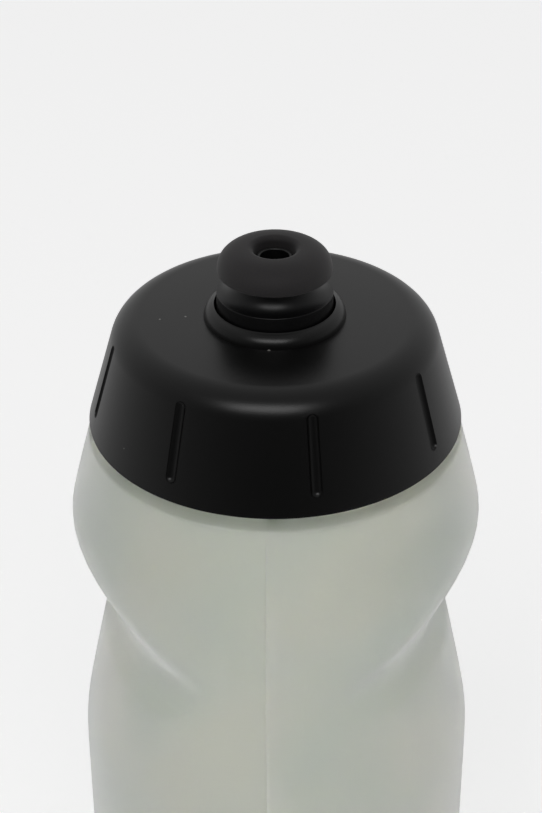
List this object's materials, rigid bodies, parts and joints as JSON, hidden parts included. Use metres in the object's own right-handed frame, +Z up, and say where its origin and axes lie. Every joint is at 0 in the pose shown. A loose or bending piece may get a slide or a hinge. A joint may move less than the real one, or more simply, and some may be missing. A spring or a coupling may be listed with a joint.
{
  "type": "sports squeeze bottle",
  "caption": "Waisted squeeze bottle with finger scoops, a fluted screw cap, and a push-pull drinking valve with a soft mouthpiece.",
  "frame": {"origin": "centre of the base, on the surface that the bottle stands on", "axes": "+Z up along the bottle's axis; the finger scoops face +X and -X; -Y is the front"},
  "size_m": [0.074, 0.074, 0.2285],
  "materials": {
    "milky_polyethylene": "satin, translucent",
    "textured_polypropylene": "fine matt texture",
    "white_silicone": "smooth, slightly translucent",
    "gloss_polypropylene": "gloss",
    "o_ring_rubber": "smooth",
    "slider_polypropylene": "semi-gloss",
    "soft_elastomer": "soft matt"
  },
  "bodies": {
    "bottle": {"bottle_body": "milky_polyethylene"},
    "cap_seal": {"cap_gasket": "white_silicone"},
    "cap": {"screw_cap": "textured_polypropylene", "valve_stem": "gloss_polypropylene"},
    "valve_seal": {"slider_o_ring": "o_ring_rubber"},
    "valve": {"valve_slider": "slider_polypropylene", "mouthpiece": "soft_elastomer"}
  },
  "joints": [
    {"name": "cap_rise", "type": "slide", "parent": "bottle", "child": "cap_seal", "axis": [0, 0, 1], "range_m": [0, 0.0151]},
    {"name": "cap_turn", "type": "hinge", "parent": "cap_seal", "child": "cap", "pos_m": [0, 0, 0.2], "axis": [0, 0, 1], "range_deg": [0, 900]},
    {"name": "valve_pull", "type": "slide", "parent": "cap", "child": "valve_seal", "axis": [0, 0, 1], "range_m": [0, 0.006]},
    {"name": "valve_spin", "type": "hinge", "parent": "valve_seal", "child": "valve", "pos_m": [0, 0, 0.215], "axis": [0, 0, 1], "continuous": true}
  ],
  "couplings": [
    {"joint": "cap_rise", "follows": "cap_turn", "m_per_rad": 0.00095493}
  ]
}
